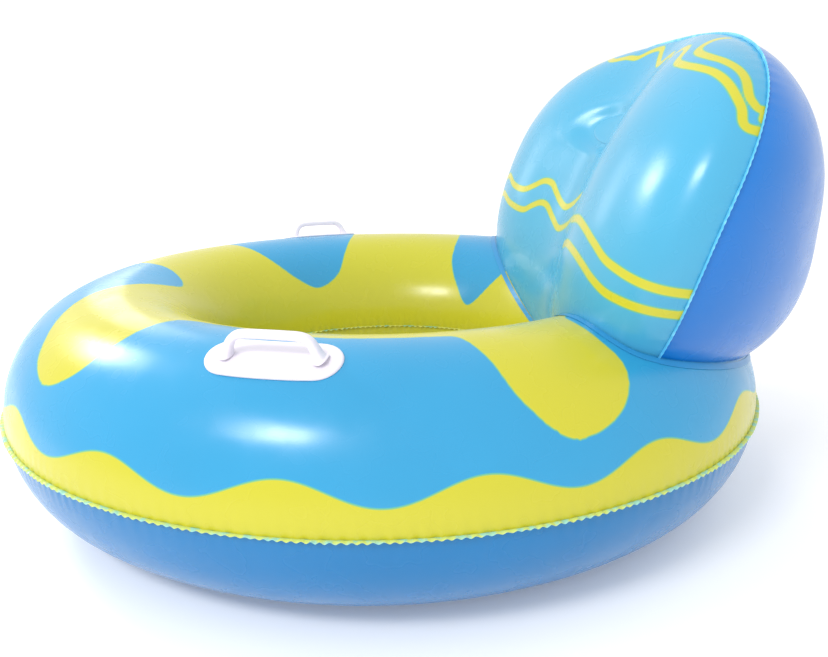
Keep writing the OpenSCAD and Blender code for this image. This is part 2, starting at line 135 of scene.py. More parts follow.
def grid_piece(name, rows, close_rows=True, close_across=True, values=None):
    """A piece from an array of points (rows, across, 3), with float attributes on its points."""
    count, across = rows.shape[:2]
    index = np.arange(count * across).reshape(count, across)
    if close_rows:
        index = np.vstack([index, index[:1]])
    if close_across:
        index = np.hstack([index, index[:, :1]])
    quads = np.stack([index[:-1, :-1], index[1:, :-1], index[1:, 1:], index[:-1, 1:]], -1)
    mesh = bpy.data.meshes.new(name)
    mesh.from_pydata(rows.reshape(-1, 3).tolist(), [], quads.reshape(-1, 4).tolist())
    for key, field in (values or {}).items():
        attribute = mesh.attributes.new(key, "FLOAT", "POINT")
        attribute.data.foreach_set("value", np.asarray(field, np.float32).ravel())
    piece = bpy.data.objects.new(name, mesh)
    bpy.context.scene.collection.objects.link(piece)
    return finish_mesh(piece)


def smooth_line(points, steps):
    """A Catmull-Rom curve through the given points, with some steps between each two."""
    points = np.asarray(points, float)
    padded = np.vstack([2 * points[0] - points[1], points, 2 * points[-1] - points[-2]])
    before, start, end, after = padded[:-3], padded[1:-2], padded[2:-1], padded[3:]
    t = np.linspace(0, 1, steps, endpoint=False)[None, :, None]
    a, b, c, d = (p[:, None, :] for p in (before, start, end, after))
    curve = 0.5 * (2 * b + (c - a) * t + (2 * a - 5 * b + 4 * c - d) * t**2
                   + (3 * b - a - 3 * c + d) * t**3)
    return np.vstack([curve.reshape(-1, points.shape[1]), points[-1:]])


def nearest(points, line):
    """The distance of each point to the closest point of a line in space."""
    tree = kdtree.KDTree(len(line))
    for k, p in enumerate(line):
        tree.insert(p, k)
    tree.balance()
    flat = points.reshape(-1, 3)
    return np.array([tree.find(p)[2] for p in flat]).reshape(points.shape[:-1])


def soft_noise(points, scale, seed):
    """Smooth noise from -1 to 1 at points in space, so it closes wherever a piece closes."""
    flat = points.reshape(-1, 3) * scale + seed
    return np.array([noise.noise(p) for p in flat]).reshape(points.shape[:-1])


# %% [markdown]
# ## Vinyl
# Pool vinyl is a soft film with a glossy calendered face. Its gloss is broad, because the face
# has a very fine orange peel and the film is never quite taut. So the material has a clear coat
# over a slightly rougher body, a slow waviness, a fine peel, and a faint drift in its colour.

# %% Vinyl material
def tone(red, green, blue):
    """A screen colour from 0 to 255 as the linear colour that a shader takes."""
    parts = (c / 255 for c in (red, green, blue))
    return (*(c / 12.92 if c <= 0.04045 else ((c + 0.055) / 1.055) ** 2.4 for c in parts), 1)


YELLOW = tone(193, 188, 44)
YELLOW_EDGE = tone(96, 178, 130)
PRINT_BLUE = tone(44, 148, 196)
# The lower film's blue is set darker as painted shade for its underside, turned down from the lights.
LOWER_BLUE_SHADED = tone(5, 112, 172)
FRONT_BLUE = tone(70, 162, 200)
# The rear film's blue is set darker as painted shade for its face turned away from the lights.
REAR_BLUE_SHADED = tone(4, 112, 196)
SEAM_GREEN = tone(196, 214, 120)
SEAM_BLUE = tone(92, 190, 232)
MOULDED_WHITE = tone(226, 221, 231)
CLEAR_WHITE = tone(222, 233, 243)


def add(nodes, kind, **settings):
    """A node with some of its settings and input values."""
    node = nodes.new(kind)
    for key, value in settings.items():
        if key in node.inputs:
            node.inputs[key].default_value = value
        else:
            setattr(node, key, value)
    return node


def mixed(tree, share, first, second):
    """Mixes two colours, each a socket or a plain colour, by a share socket."""
    mix = add(tree.nodes, "ShaderNodeMix", data_type="RGBA")
    tree.links.new(share, mix.inputs[0])
    for socket, colour in ((mix.inputs[6], first), (mix.inputs[7], second)):
        if isinstance(colour, bpy.types.NodeSocket):
            tree.links.new(colour, socket)
        else:
            socket.default_value = colour
    return mix.outputs[2]


def ramped(tree, value, low, high, to_low=0.0, to_high=1.0):
    """A value carried smoothly from one range to another."""
    node = add(tree.nodes, "ShaderNodeMapRange", interpolation_type="SMOOTHSTEP")
    for k, number in enumerate((low, high, to_low, to_high), 1):
        node.inputs[k].default_value = number
    tree.links.new(value, node.inputs[0])
    return node.outputs[0]


def noisy(tree, vector, scale, detail=2.0):
    """A noise value over the piece's own coordinates."""
    node = add(tree.nodes, "ShaderNodeTexNoise", Scale=scale, Detail=detail)
    tree.links.new(vector, node.inputs["Vector"])
    return node.outputs[0]


def vinyl(name, colour, roughness=0.25, coat=0.14, peel=0.12, pattern=None, drift=0.10):
    """A glossy vinyl film. pattern(tree, colour) paints a print over the base colour."""
    material = bpy.data.materials.new(name)
    material.use_nodes = True
    tree = material.node_tree
    shader = tree.nodes["Principled BSDF"]
    place = add(tree.nodes, "ShaderNodeTexCoord").outputs["Object"]
    slow = noisy(tree, place, 5.0, 3.0)
    deeper = (*(c * (1 - drift) for c in colour[:3]), 1)
    lighter = (*(min(1, c * (1 + drift)) for c in colour[:3]), 1)
    face = mixed(tree, slow, deeper, lighter)
    if pattern:
        face = pattern(tree, face)
    tree.links.new(face, shader.inputs["Base Color"])
    rough = ramped(tree, noisy(tree, place, 22.0), 0.3, 0.7, roughness - 0.04, roughness + 0.05)
    tree.links.new(rough, shader.inputs["Roughness"])
    wavy = add(tree.nodes, "ShaderNodeBump", Strength=0.10, Distance=0.0015)
    tree.links.new(noisy(tree, place, 16.0), wavy.inputs["Height"])
    fine = add(tree.nodes, "ShaderNodeBump", Strength=peel, Distance=0.0002)
    tree.links.new(noisy(tree, place, 620.0), fine.inputs["Height"])
    tree.links.new(wavy.outputs["Normal"], fine.inputs["Normal"])
    tree.links.new(fine.outputs["Normal"], shader.inputs["Normal"])
    shader.inputs["Coat Weight"].default_value = coat
    shader.inputs["Coat Roughness"].default_value = 0.24
    shader.inputs["IOR"].default_value = 1.45
    return material


# %% [markdown]
# ## The printed pattern
# The yellow areas are printed on the film before it is welded, with a thin darker line where
# the inks overlap. Painting them by a texture would blur their edges. Here each point of the
# mesh carries its distance to the print's edge, and the shader turns that distance into two
# clean colours and the thin line, which stays sharp however close the viewer comes.

# %% Print from an edge distance
LINE_HALF = 0.0009
SOFT_EDGE = 0.0005


def print_of(key, ink):
    """A pattern that prints ink wherever the attribute key is positive."""
    def pattern(tree, face):
        edge = add(tree.nodes, "ShaderNodeAttribute", attribute_name=key).outputs["Fac"]
        inked = mixed(tree, ramped(tree, edge, -SOFT_EDGE, SOFT_EDGE), face, ink)
        size = add(tree.nodes, "ShaderNodeMath", operation="ABSOLUTE")
        tree.links.new(edge, size.inputs[0])
        line = ramped(tree, size.outputs[0], LINE_HALF - SOFT_EDGE, LINE_HALF + SOFT_EDGE, 0.8, 0.0)
        return mixed(tree, line, inked, YELLOW_EDGE)
    return pattern


upper_vinyl = vinyl("upper print vinyl", PRINT_BLUE, pattern=print_of("ring_print", YELLOW))
lower_vinyl = vinyl("lower vinyl", LOWER_BLUE_SHADED, pattern=print_of("ring_print", YELLOW))
front_vinyl = vinyl("front print vinyl", FRONT_BLUE, pattern=print_of("stripes", YELLOW))
rear_vinyl = vinyl("rear vinyl", REAR_BLUE_SHADED)

# %% [markdown]
# ## The ring's print
# A wave band follows the outer seam, and large blue drops hang over the yellow inner side. The
# drops' edge is one line right round the ring, through points in whole degrees: the angle round
# the oval as seen from above, and the angle up the tube from the outer seam. The sign of the
# distance comes from counting how often a station's section crosses that line below a point.

# %% Ring print
PLAN_SQUEEZE = 0.918
DROP_STEPS = 24
BAND_MIDDLE = 17.0
BAND_SWING = 5.0
BAND_WAVES = 17
BAND_CREST = 8.8
DROP_EDGE = [
    (0, 93), (8, 92), (10, 88), (12, 70), (14, 48), (19, 30), (26, 36), (30, 53), (30, 75), (32, 98),
    (40, 106), (65, 108), (90, 110), (100, 112), (121, 113), (127, 120), (133, 130), (140, 148),
    (147, 162), (152, 150), (156, 130), (157, 100), (158, 80), (160, 60), (165, 40), (172, 32),
    (180, 40), (185, 60), (188, 92), (189, 100), (192, 120), (196, 140), (204, 149), (211, 140),
    (216, 125), (220, 105), (222, 92), (224, 70), (230, 45), (237, 35), (245, 45), (251, 70),
    (254, 90), (256, 105), (260, 117), (265, 122), (270, 117), (276, 105), (282, 90), (288, 75),
    (295, 62), (300, 53), (305, 43), (311, 38), (316, 48), (318, 65), (319, 90), (320, 100),
    (325, 104), (332, 104), (340, 97), (350, 93),
]


def plan_angle(turn):
    """The angle seen from above of the outer point at a turn, in degrees from 0 to 360."""
    outer = ring_point(turn, 0.0)
    angle = np.degrees(np.arctan2(outer[..., 1] - RING_Y, outer[..., 0] / PLAN_SQUEEZE))
    return angle % 360


def ring_print(turns, arounds):
    """The distance into the yellow at each point of the ring's upper film."""
    edge = smooth_line(np.vstack([DROP_EDGE, [(360, 93)]]), DROP_STEPS)
    plan = plan_angle(turns)
    fine_turns = np.linspace(0, 2 * math.pi, 4001)
    fine_plan = plan_angle(fine_turns[:-1])
    fine_plan = np.append(fine_plan, 360)
    edge_turns = np.interp(edge[:, 0], fine_plan, fine_turns)
    line = ring_point(edge_turns, np.radians(edge[:, 1]))
    points = ring_point(turns[:, None], arounds[None, :])
    far = nearest(points, line)
    start, end = edge[:-1], edge[1:]
    low = np.minimum(start[:, 0], end[:, 0])
    high = np.maximum(start[:, 0], end[:, 0])
    inside = np.zeros(points.shape[:2], bool)
    for k, angle in enumerate(plan):
        crossed = (low <= angle) & (angle < high)
        share = (angle - start[crossed, 0]) / (end[crossed, 0] - start[crossed, 0])
        heights = start[crossed, 1] + share * (end[crossed, 1] - start[crossed, 1])
        below = (heights[None, :] < np.degrees(arounds)[:, None]).sum(1)
        inside[k] = below % 2 == 1
    drops = np.where(inside, far, -far)
    wave = BAND_MIDDLE + BAND_SWING * np.cos(np.radians(BAND_WAVES * (plan - BAND_CREST)))
    band = np.radians(wave[:, None] - np.degrees(arounds)[None, :]) * TUBE_R * 0.9
    return np.maximum(drops, band)


# %% [markdown]
# ## The ring's two films
# Each film runs from the outer seam to the inner one. Its shape follows a rule, the tube bent
# round the oval, so it is computed point by point. Near a weld the film can't stretch, so it
# gathers into short shallow puckers that fade away from the seam. The film has its real
# thickness: an outer and an inner face meet in the welds.

# %% Ring films
STATIONS = 1100
PUCKERS = 210
PUCKER_LIFT = 0.0007
PUCKER_REACH = 0.011
INNER_PUCKERS = 150
INNER_YELLOW = 142
BACK_STEPS = 9


def bunched(steps, low, high, ends=0.55):
    """Steps from low to high that crowd towards both ends."""
    t = np.linspace(0, 1, steps)
    return low + (high - low) * ((1 - ends) * t + ends * (0.5 - 0.5 * np.cos(math.pi * t)))


def puckers(turns, from_seam, seed, count=PUCKERS):
    """The lift of the gathered film at a distance from a seam."""
    line = ring_point(turns, 0.0)
    wander = 2.2 * soft_noise(line, 9.0, seed)
    strength = 0.75 + 0.5 * soft_noise(line, 14.0, seed + 5)
    wave = np.sin(count * turns + wander) * strength
    return PUCKER_LIFT * wave[:, None] * np.exp(-from_seam / PUCKER_REACH)[None, :]


def ring_film(name, low, high, steps, seed):
    """One film of the ring, from one weld to the other."""
    turns = np.linspace(0, 2 * math.pi, STATIONS, endpoint=False)
    outer = np.radians(bunched(steps, low, high))
    inner = np.radians(bunched(BACK_STEPS, low, high))[::-1]
    arounds = np.concatenate([outer, inner])
    from_outer = TUBE_R * np.abs(arounds)
    from_inner = TUBE_R * np.abs(math.pi - np.abs(arounds))
    lift = puckers(turns, from_outer, seed) + puckers(turns, from_inner, seed + 9, INNER_PUCKERS)
    lift = lift - np.where(np.arange(len(arounds)) < steps, 0, FILM_T)[None, :]
    rows = ring_point(turns[:, None], arounds[None, :], lift)
    rows[..., 2] = np.maximum(rows[..., 2], 0.0)
    if high > 0:
        values = {"ring_print": ring_print(turns, arounds)}
    else:
        inner_reach = math.radians(-INNER_YELLOW) - arounds
        values = {"ring_print": np.tile(inner_reach * TUBE_R, (STATIONS, 1))}
    return grid_piece(name, rows, values=values)


ring_upper = ring_film("ring_upper_film", 0, 180, 46, 1.7)
ring_lower = ring_film("ring_lower_film", 0, -180, 36, 4.1)
for piece, vinyl_face, node, slot in (
    (ring_upper, upper_vinyl, "ring_upper_panel", "upper_print_vinyl"),
    (ring_lower, lower_vinyl, "ring_lower_panel", "lower_vinyl"),
):
    piece.data.materials.append(vinyl_face)
    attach(piece, ROOT)
    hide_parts(node)

# %% [markdown]
# ## The backrest's shape
# The backrest is a rounded shield of two films. The front one is drawn back by a tie in its
# middle, which leaves two lobes with a valley between, and the rear one bulges far out. Both
# are given by a ray angle and a share of the way from the middle to the seam.

# %% Backrest shape
LEAN = math.radians(7.4)
CURVE_R = 0.788
BACK_HALF = 0.410
BACK_UP = 0.220
BACK_DOWN = 0.285
BACK_MID = 0.166
OUTLINE_POWER = 2.6
FRONT_DEPTH = 0.112
REAR_DEPTH = 0.289
VALLEY_W = 0.164
VALLEY_SHARE = 0.71
VALLEY_GROWTH = 0.25
FRONT_FULLNESS = 0.31
REAR_FULLNESS = 0.65
REAR_TAPER = 0.33
REAR_CREASE = 0.06
REAR_CREASE_W = 0.058
BACK_SET = 0.110
BACK_SINK = 0.034
FOOT_Y = RING_Y + HALF_LONG - TUBE_R - BACK_SET
FOOT_Z = TUBE_Z + TUBE_R - BACK_SINK


def outline(ray):
    """The shield's rounded outline, as a share of its half width and height."""
    parts = np.abs(np.cos(ray)) ** OUTLINE_POWER + np.abs(np.sin(ray)) ** OUTLINE_POWER
    return parts ** (-1 / OUTLINE_POWER)


def panel_point(ray, share, side, sunk=0.0):
    """A point of the backrest's front (side 1) or rear (side -1) film."""
    reach = share * outline(ray)
    x = BACK_HALF * reach * np.cos(ray)
    s = BACK_MID + np.where(np.sin(ray) > 0, BACK_UP, BACK_DOWN) * reach * np.sin(ray)
    level = (s - BACK_MID) / BACK_UP
    bulge = np.maximum(0, 1 - share**2)
    if side > 0:
        valley = np.exp(-((x / VALLEY_W) ** 2)) * (1 + VALLEY_GROWTH * level)
        depth = (FRONT_DEPTH - FILM_T) * bulge**FRONT_FULLNESS * (1 - VALLEY_SHARE * valley)
    else:
        crease = 1 - REAR_CREASE * np.exp(-((x / REAR_CREASE_W) ** 2))
        depth = REAR_DEPTH * (1 - REAR_TAPER * level) * bulge**REAR_FULLNESS * crease
    depth = side * np.maximum(0, depth - sunk)
    y = FOOT_Y + s * math.sin(LEAN) + s**2 / (2 * CURVE_R) - depth * math.cos(LEAN)
    z = FOOT_Z + s * math.cos(LEAN) + depth * math.sin(LEAN)
    return np.stack([x, y, z], -1)


def ray_of(x, s):
    """The ray angle and share of a place given by its distance aside and its height."""
    up = np.where(s > BACK_MID, BACK_UP, BACK_DOWN)
    ray = np.arctan2((s - BACK_MID) / up, x / BACK_HALF)
    share = np.hypot((s - BACK_MID) / up, x / BACK_HALF) / outline(ray)
    return ray, np.minimum(share, 1.0)


# %% [markdown]
# ## The wavy stripes and the weld recess
# Two pairs of yellow stripes cross the front film. Each is a smooth line through measured
# places: distance aside and height above the foot, in shares of the ring's half length over its
# seam. High in the valley the hidden tie's oval weld draws the film into a shallow recess.

# %% Stripes
UNIT = 0.58
STRIPE_HALF = 0.0058
STRIPE_STEPS = 40
DENSER = 8
LOW_UPPER = [
    (-0.66, 0.19), (-0.60, 0.22), (-0.48, 0.262), (-0.364, 0.241), (-0.285, 0.237), (-0.235, 0.255),
    (-0.196, 0.274), (-0.156, 0.273), (-0.12, 0.252), (-0.079, 0.230), (-0.035, 0.220), (0.01, 0.235),
    (0.06, 0.262), (0.11, 0.272), (0.17, 0.252), (0.22, 0.228), (0.28, 0.222), (0.371, 0.233),
    (0.439, 0.224), (0.511, 0.202), (0.567, 0.180), (0.613, 0.169), (0.655, 0.160), (0.70, 0.152),
]
LOW_LOWER = [
    (-0.66, 0.14), (-0.60, 0.165), (-0.485, 0.203), (-0.347, 0.184), (-0.253, 0.178), (-0.21, 0.197),
    (-0.174, 0.212), (-0.138, 0.209), (-0.085, 0.180), (-0.03, 0.160), (0.03, 0.178), (0.08, 0.200),
    (0.13, 0.197), (0.18, 0.172), (0.252, 0.156), (0.338, 0.172), (0.418, 0.167), (0.483, 0.152),
    (0.535, 0.134), (0.588, 0.118), (0.635, 0.112), (0.67, 0.109), (0.70, 0.107),
]
HIGH_OUTER = [
    (0.385, 0.632), (0.405, 0.604), (0.434, 0.591), (0.486, 0.580), (0.528, 0.571), (0.568, 0.556),
    (0.604, 0.533), (0.640, 0.500), (0.665, 0.470),
]
HIGH_INNER = [
    (-0.676, 0.449), (-0.649, 0.487), (-0.60, 0.525), (-0.533, 0.552), (-0.46, 0.57), (-0.40, 0.60),
    (-0.351, 0.618), (-0.312, 0.636), (-0.25, 0.628), (-0.185, 0.633), (-0.134, 0.630),
    (-0.095, 0.646), (-0.045, 0.650), (-0.01, 0.625), (0.03, 0.604), (0.08, 0.622), (0.13, 0.618),
    (0.18, 0.596), (0.248, 0.597), (0.286, 0.610), (0.319, 0.613), (0.350, 0.602), (0.384, 0.576),
    (0.437, 0.565), (0.498, 0.557), (0.553, 0.546), (0.602, 0.524), (0.645, 0.490), (0.676, 0.449),
]
RECESS_X = 0.112
RECESS_S = 0.0385
RECESS_MID = 0.255
RECESS_DEPTH = 0.0065
RIM_ROLL = 0.0012
RECESS_FLAT = 0.62
RECESS_SLOPE = 0.42
RIM_AT = 1.16
RIM_WIDE = 0.14


def dense_on_panel(ray, tau):
    """Points of the front film along a line, close together even where the film turns back
    steeply to the seam. tau is the arc sine of the share of the way to the seam."""
    steps = np.arange(len(ray))
    fine = np.linspace(0, len(ray) - 1, DENSER * len(ray))
    return panel_point(np.interp(fine, steps, ray), np.sin(np.interp(fine, steps, tau)), 1)


def stripe_print(points):
    """The distance into the nearest stripe."""
    lines = [LOW_UPPER, LOW_LOWER, HIGH_OUTER, [(-x, s) for x, s in HIGH_OUTER], HIGH_INNER]
    dense = []
    for places in lines:
        line = smooth_line(np.array(places) * UNIT, STRIPE_STEPS)
        ray, share = ray_of(line[:, 0], line[:, 1])
        dense.append(dense_on_panel(np.unwrap(ray), np.arcsin(share)))
    return STRIPE_HALF - nearest(points, np.vstack(dense))


def recess(x, s):
    """How deep the weld draws the front film in, with a soft roll round the recess."""
    far = np.hypot(x / RECESS_X, (s - RECESS_MID) / RECESS_S)
    t = np.clip((far - RECESS_FLAT) / RECESS_SLOPE, 0, 1)
    rim = RIM_ROLL * np.exp(-(((far - RIM_AT) / RIM_WIDE) ** 2))
    return RECESS_DEPTH * (1 - t * t * (3 - 2 * t)) - rim


# %% [markdown]
# ## The backrest's two films
# Each film is a fan of rays from its middle, closed by a pole. It ends at the seam, or inside the
# ring's skin where it is welded to the ring. The seam gathers it into puckers, as on the ring.
# The inner face has fewer points and lies deeper, so that it never shows through the outer one.

# %% Backrest films
RAYS = 760
INTO_RING = 0.003
INNER_SINK = 0.004
TAU_STEP = math.radians(1.0)
SEARCH_STEPS = 400
EDGE_PUCKERS = 105
EDGE_PUCKER_LIFT = 0.0003
EDGE_PUCKER_REACH = 0.012
INNER_SINK_REACH = 0.03


def eased(tau):
    """Lets the rays' ends change only a little from one ray to the next. The rays that are
    made longer by this only go further into the ring, where nothing shows."""
    apart = np.abs(np.arange(RAYS)[:, None] - np.arange(RAYS)[None, :])
    apart = np.minimum(apart, RAYS - apart)
    return (tau[None, :] - TAU_STEP * apart).max(1)


def panel_film(name, side, steps, seed):
    """One film of the backrest."""
    rays = np.linspace(0, 2 * math.pi, RAYS, endpoint=False)
    search = np.sin(np.linspace(0, math.pi / 2, SEARCH_STEPS))
    depth = skin_gap(panel_point(rays[:, None], search[None, :], side))
    at_seam = skin_gap(panel_point(rays, 1.0, side)) < 0
    clear = depth > -INTO_RING
    rim = SEARCH_STEPS - 1
    last = rim - clear[:, ::-1].argmax(1)
    last = np.where(at_seam, np.minimum(last + 1, rim), rim)
    end = search[last]
    tau = eased(np.arcsin(end))
    t = np.linspace(0, 1, steps)
    share = np.sin(tau[:, None] * (1 - (1 - t[None, :]) ** 1.15))
    rows = panel_point(rays[:, None], share, side)
    edge_line = panel_point(rays, 1.0, side)
    wander = 2.0 * soft_noise(edge_line, 11.0, seed)
    away = np.linalg.norm(rows - edge_line[:, None, :], axis=-1)
    wave = np.sin(EDGE_PUCKERS * rays + wander)[:, None] * np.exp(-away / EDGE_PUCKER_REACH)
    along = np.gradient(rows, axis=1)
    turn = np.gradient(rows, axis=0)
    normal = np.cross(along, turn)
    normal /= np.maximum(np.linalg.norm(normal, axis=-1, keepdims=True), 1e-9)
    normal[:, 0] = normal[:, 3].mean(0)
    normal *= np.sign((normal[..., 1] * -side).mean())
    lift = EDGE_PUCKER_LIFT * wave
    values = None
    if side > 0:
        reach = share * outline(rays)[:, None]
        x = BACK_HALF * reach * np.cos(rays)[:, None]
        up = np.where(np.sin(rays) > 0, BACK_UP, BACK_DOWN)[:, None]
        s = BACK_MID + up * reach * np.sin(rays)[:, None]
        lift = lift - recess(x, s)
    skin = rows + normal * lift[..., None]
    inner = FILM_T + INNER_SINK * np.minimum(1, away[..., None] / INNER_SINK_REACH)
    back = (skin - normal * inner)[:, ::-1][:, ::4]
    back[:, -1] = (skin - normal * inner)[:, 0].mean(0)
    skin[:, 0] = skin[:, 0].mean(0)
    whole = np.concatenate([skin, back], 1)
    if side > 0:
        values = {"stripes": stripe_print(whole)}
    return grid_piece(name, whole, close_across=False, values=values)


front_film = panel_film("backrest_front_film", 1, 92, 2.3)
rear_film = panel_film("backrest_rear_film", -1, 80, 6.4)
for piece, vinyl_face, node, slot in (
    (front_film, front_vinyl, "backrest_front_panel", "front_print_vinyl"),
    (rear_film, rear_vinyl, "backrest_rear_panel", "rear_vinyl"),
):
    piece.data.materials.append(vinyl_face)
    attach(piece, ROOT)
    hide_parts(node)

# %% [markdown]
# ## Crimped weld seams, by Geometry Nodes
# A welding bar leaves a narrow flange that the slack film beside it crimps into small waves.
# Hundreds of crimps follow a path, so Geometry Nodes make them: a grid's rows are laid along
# the path, its columns go round a lens-shaped section, and a sine with a wandering phase lifts
# the free edge. Width, thickness, crimps, their height and a seed are inputs of the group.

# %% Seam node group
SECTION = 10
PHASE_WANDER = 9.0
STRENGTH_WANDER = 1.4
WIDTH_WANDER = 0.35
CRIMP_RISE = 1.3
END_TAPER = 0.012


def seam_group():
    """The node group that sweeps a crimped flange along a path with two directions."""
    tree = bpy.data.node_groups.new("crimped weld seam", "GeometryNodeTree")
    face = tree.interface
    face.new_socket("Geometry", in_out="INPUT", socket_type="NodeSocketGeometry")
    for title, kind in (("Width", "Float"), ("Thickness", "Float"), ("Crimps", "Int"),
                        ("Crimp height", "Float"), ("Closed", "Int"), ("Seed", "Float"),
                        ("Material", "Material")):
        face.new_socket(title, in_out="INPUT", socket_type="NodeSocket" + kind)
    face.new_socket("Geometry", in_out="OUTPUT", socket_type="NodeSocketGeometry")
    nodes, links = tree.nodes, tree.links
    given = nodes.new("NodeGroupInput")
    result = nodes.new("NodeGroupOutput")

    def feed(socket, value):
        if isinstance(value, bpy.types.NodeSocket):
            links.new(value, socket)
        else:
            socket.default_value = value

    def sum_of(operation, *values):
        node = add(nodes, "ShaderNodeMath", operation=operation)
        for socket, value in zip(node.inputs, values):
            feed(socket, value)
        return node.outputs[0]

    def vector_of(operation, first, second, scale=None):
        node = add(nodes, "ShaderNodeVectorMath", operation=operation)
        feed(node.inputs[0], first)
        if scale is None:
            feed(node.inputs[1], second)
        else:
            feed(node.inputs["Scale"], scale)
        return node.outputs[0]

    path = given.outputs["Geometry"]
    size = nodes.new("GeometryNodeAttributeDomainSize")
    links.new(path, size.inputs[0])
    count = size.outputs["Point Count"]
    grid = nodes.new("GeometryNodeMeshGrid")
    feed(grid.inputs["Vertices X"], sum_of("ADD", count, given.outputs["Closed"]))
    feed(grid.inputs["Vertices Y"], SECTION + 1)
    index = nodes.new("GeometryNodeInputIndex").outputs[0]
    row = sum_of("FLOOR", sum_of("DIVIDE", sum_of("ADD", index, 0.5), SECTION + 1))
    column = sum_of("SUBTRACT", index, sum_of("MULTIPLY", row, SECTION + 1))
    station = sum_of("MODULO", sum_of("ADD", row, 0.01), count)

    def from_path(kind, value):
        node = add(nodes, "GeometryNodeSampleIndex", data_type=kind, domain="POINT")
        links.new(path, node.inputs["Geometry"])
        feed(node.inputs["Value"], value)
        feed(node.inputs["Index"], sum_of("FLOOR", station))
        return node.outputs[0]

    def named(kind, title):
        node = add(nodes, "GeometryNodeInputNamedAttribute", data_type=kind)
        node.inputs["Name"].default_value = title
        return node.outputs[0]

    place = from_path("FLOAT_VECTOR", nodes.new("GeometryNodeInputPosition").outputs[0])
    out = from_path("FLOAT_VECTOR", named("FLOAT_VECTOR", "out"))
    across = from_path("FLOAT_VECTOR", named("FLOAT_VECTOR", "across"))
    run = from_path("FLOAT", named("FLOAT", "run"))
    taper = from_path("FLOAT", named("FLOAT", "taper"))
    angle = sum_of("MULTIPLY", column, 2 * math.pi / SECTION)
    share = sum_of("SUBTRACT", 0.5, sum_of("MULTIPLY", sum_of("COSINE", angle), 0.5))
    wander = add(nodes, "ShaderNodeTexNoise", noise_dimensions="4D", Scale=16.0, Detail=1.0)
    feed(wander.inputs["Vector"], place)
    feed(wander.inputs["W"], given.outputs["Seed"])
    ragged = sum_of("SUBTRACT", wander.outputs[0], 0.5)
    phase = sum_of("MULTIPLY", sum_of("MULTIPLY", run, given.outputs["Crimps"]), 2 * math.pi)
    crimp = sum_of("SINE", sum_of("ADD", phase, sum_of("MULTIPLY", ragged, PHASE_WANDER)))
    strength = sum_of("ADD", 1.0, sum_of("MULTIPLY", ragged, STRENGTH_WANDER))
    free = sum_of("POWER", share, CRIMP_RISE)
    height = sum_of("MULTIPLY", sum_of("MULTIPLY", crimp, given.outputs["Crimp height"]),
                    sum_of("MULTIPLY", strength, free))
    lens = sum_of("MULTIPLY", sum_of("MULTIPLY", sum_of("SINE", angle), 0.5),
                  given.outputs["Thickness"])
    wide = sum_of("MULTIPLY", sum_of("MULTIPLY", share, given.outputs["Width"]),
                  sum_of("ADD", 1.0, sum_of("MULTIPLY", ragged, WIDTH_WANDER)))
    sideways = vector_of("SCALE", across, None, sum_of("MULTIPLY", taper, sum_of("ADD", height, lens)))
    outwards = vector_of("SCALE", out, None, sum_of("MULTIPLY", taper, wide))
    target = vector_of("ADD", place, vector_of("ADD", sideways, outwards))
    move = nodes.new("GeometryNodeSetPosition")
    links.new(grid.outputs["Mesh"], move.inputs["Geometry"])
    feed(move.inputs["Position"], target)
    store = add(nodes, "GeometryNodeStoreNamedAttribute", data_type="FLOAT", domain="POINT")
    links.new(move.outputs[0], store.inputs["Geometry"])
    store.inputs["Name"].default_value = "free_share"
    feed(store.inputs["Value"], share)
    merge = nodes.new("GeometryNodeMergeByDistance")
    links.new(store.outputs[0], merge.inputs["Geometry"])
    merge.inputs["Distance"].default_value = WELD_DISTANCE
    whole = nodes.new("GeometryNodeRealizeInstances")
    links.new(merge.outputs[0], whole.inputs[0])
    coat = nodes.new("GeometryNodeSetMaterial")
    links.new(whole.outputs[0], coat.inputs["Geometry"])
    links.new(given.outputs["Material"], coat.inputs["Material"])
    links.new(coat.outputs[0], result.inputs[0])
    return tree


SEAM_GROUP = seam_group()
SEAM_INPUTS = {s.name: s.identifier for s in SEAM_GROUP.interface.items_tree if s.in_out == "INPUT"}
print("seam inputs", sorted(SEAM_INPUTS))


def swept_seam(name, path, out, across, closed, material, **inputs):
    """A crimped flange along a path of points."""
    gaps = np.linalg.norm(np.diff(path, axis=0, append=path[:1]), axis=1)
    run = np.concatenate([[0], np.cumsum(gaps)[:-1]])
    total = gaps.sum() if closed else run[-1]
    taper = np.ones(len(path))
    if not closed:
        from_end = np.minimum(run, total - run)
        taper = np.clip(from_end / END_TAPER, 0, 1) ** 0.5
    mesh = bpy.data.meshes.new(name)
    mesh.from_pydata(path.tolist(), [(k, k + 1) for k in range(len(path) - 1)], [])
    for key, field in (("out", out), ("across", across)):
        attribute = mesh.attributes.new(key, "FLOAT_VECTOR", "POINT")
        attribute.data.foreach_set("vector", np.asarray(field, np.float32).ravel())
    for key, field in (("run", run / total), ("taper", taper)):
        attribute = mesh.attributes.new(key, "FLOAT", "POINT")
        attribute.data.foreach_set("value", np.asarray(field, np.float32))
    guide = bpy.data.objects.new(name + "_guide", mesh)
    bpy.context.scene.collection.objects.link(guide)
    modifier = guide.modifiers.new("seam", "NODES")
    modifier.node_group = SEAM_GROUP
    inputs.update(Closed=int(closed), Material=material)
    for title, value in inputs.items():
        modifier[SEAM_INPUTS[title.replace("_", " ")]] = value
    graph = bpy.context.evaluated_depsgraph_get()
    made = bpy.data.meshes.new_from_object(guide.evaluated_get(graph))
    bpy.data.objects.remove(guide)
    made.name = name
    piece = bpy.data.objects.new(name, made)
    bpy.context.scene.collection.objects.link(piece)
    if not made.materials:
        made.materials.append(material)
    return finish_mesh(piece)
